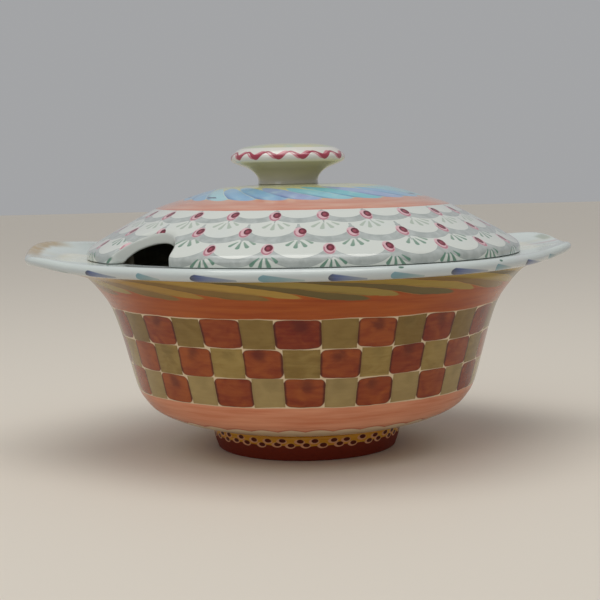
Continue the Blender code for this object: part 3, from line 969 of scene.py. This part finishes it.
def make_knob():
    base = KNOB_LOW.z
    upper = curve([(0.003, KNOB_TOP - 0.0002), (0.014, KNOB_TOP - 0.0004), (0.027, KNOB_TOP - 0.0018),
                   (0.0345, KNOB_TOP - 0.0042), (KNOB_R - 0.0010, KNOB_TOP - 0.0078)], 6)
    edge = arc((KNOB_R - 0.0034, KNOB_TOP - 0.0102), 0.0034, 32, -70, 8)
    lower = curve([(0.0335, 0.1978), (0.0285, 0.1959), (0.0246, 0.1935), (0.0219, 0.1905), (0.0208, 0.1872),
                   (0.0212, base)], 5)
    profile = np.concatenate([upper, edge, lower, [(0.020, base - 0.0002), (0.003, base - 0.0002)]])
    return turned("knob_turned", profile, knob_glaze(), (KNOB_X, KNOB_Y), 192, seed=8, amount=0.0002)


# ---- stage, lights and camera -----------------------------------------------------------------------
CAMERA_TURN = 9.5              # degrees towards the left ear
CAMERA_DISTANCE, CAMERA_HEIGHT = 0.918, 0.1923
CAMERA_PITCH, CAMERA_ROLL, CAMERA_PAN = 5.6, 1.1, 0.20
LENS = 78.0


def make_camera():
    turn = math.radians(CAMERA_TURN)
    eye = Vector((-math.sin(turn), -math.cos(turn), 0)) * CAMERA_DISTANCE + Vector((0, 0, CAMERA_HEIGHT))
    pan, pitch = turn - math.radians(CAMERA_PAN), math.radians(CAMERA_PITCH)
    look = Vector((math.sin(pan) * math.cos(pitch), math.cos(pan) * math.cos(pitch), -math.sin(pitch)))
    data = bpy.data.cameras.new("camera")
    data.lens, data.sensor_width = LENS, 36.0
    camera = bpy.data.objects.new("camera", data)
    roll = Matrix.Rotation(-math.radians(CAMERA_ROLL), 4, "Z")
    camera.matrix_world = Matrix.Translation(eye) @ look.to_track_quat("-Z", "Y").to_matrix().to_4x4() @ roll
    bpy.context.scene.collection.objects.link(camera)
    bpy.context.scene.camera = camera


def make_light(name, place, size, power, colour):
    data = bpy.data.lights.new(name, "AREA")
    data.shape = "RECTANGLE"
    data.size, data.size_y = size
    data.energy, data.color = power, colour
    light = bpy.data.objects.new(name, data)
    light.location = place
    light.rotation_mode = "QUATERNION"
    light.rotation_quaternion = (Vector((0, 0, 0.12)) - Vector(place)).to_track_quat("-Z", "Y")
    bpy.context.scene.collection.objects.link(light)


def make_stage():
    mesh = bpy.data.meshes.new("floor")
    size = 6.0
    corners = [(-size, -size, 0), (size, -size, 0), (size, size, 0), (-size, size, 0)]
    mesh.from_pydata(corners, [], [(0, 1, 2, 3)])
    floor = bpy.data.objects.new("floor", mesh)
    bpy.context.scene.collection.objects.link(floor)
    material = bpy.data.materials.new("floor")
    material.use_nodes = True
    shader = material.node_tree.nodes["Principled BSDF"]
    shader.inputs["Base Color"].default_value = (0.74, 0.68, 0.59, 1)
    shader.inputs["Roughness"].default_value = 0.7
    mesh.materials.append(material)
    world = bpy.data.worlds.new("studio")
    world.use_nodes = True
    background = world.node_tree.nodes["Background"]
    background.inputs["Color"].default_value = (0.80, 0.81, 0.83, 1)
    background.inputs["Strength"].default_value = 0.46
    bpy.context.scene.world = world
    make_light("overhead", (-0.10, -0.25, 1.6), (1.5, 0.9), 9.0, (1.0, 0.985, 0.96))
    make_light("window", (-1.6, -1.3, 1.1), (0.9, 1.1), 3.5, (0.95, 0.98, 1.0))
    sun = bpy.data.lights.new("skylight", "SUN")
    sun.angle, sun.energy, sun.color = math.radians(70), 0.62, (1.0, 0.99, 0.97)
    sky = bpy.data.objects.new("skylight", sun)
    sky.rotation_euler = (math.radians(18), math.radians(-8), 0)
    bpy.context.scene.collection.objects.link(sky)


def ride_and_replace(piece, body, slot, *nodes):
    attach(piece, body)
    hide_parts(*nodes)


bpy.context.scene.view_settings.view_transform = "Standard"
make_camera()
make_stage()
ride_and_replace(make_bowl(), "base", "bowl_glaze", "bowl", "ear_left", "ear_right")
ride_and_replace(make_foot(), "base", "foot_terracotta", "foot_ring")
ride_and_replace(make_lid(), "lid", "lid_glaze", "lid")
ride_and_replace(make_flange(), "lid", "lid_glaze", "lid_flange")
ride_and_replace(make_knob(), "lid", "knob_glaze", "knob")
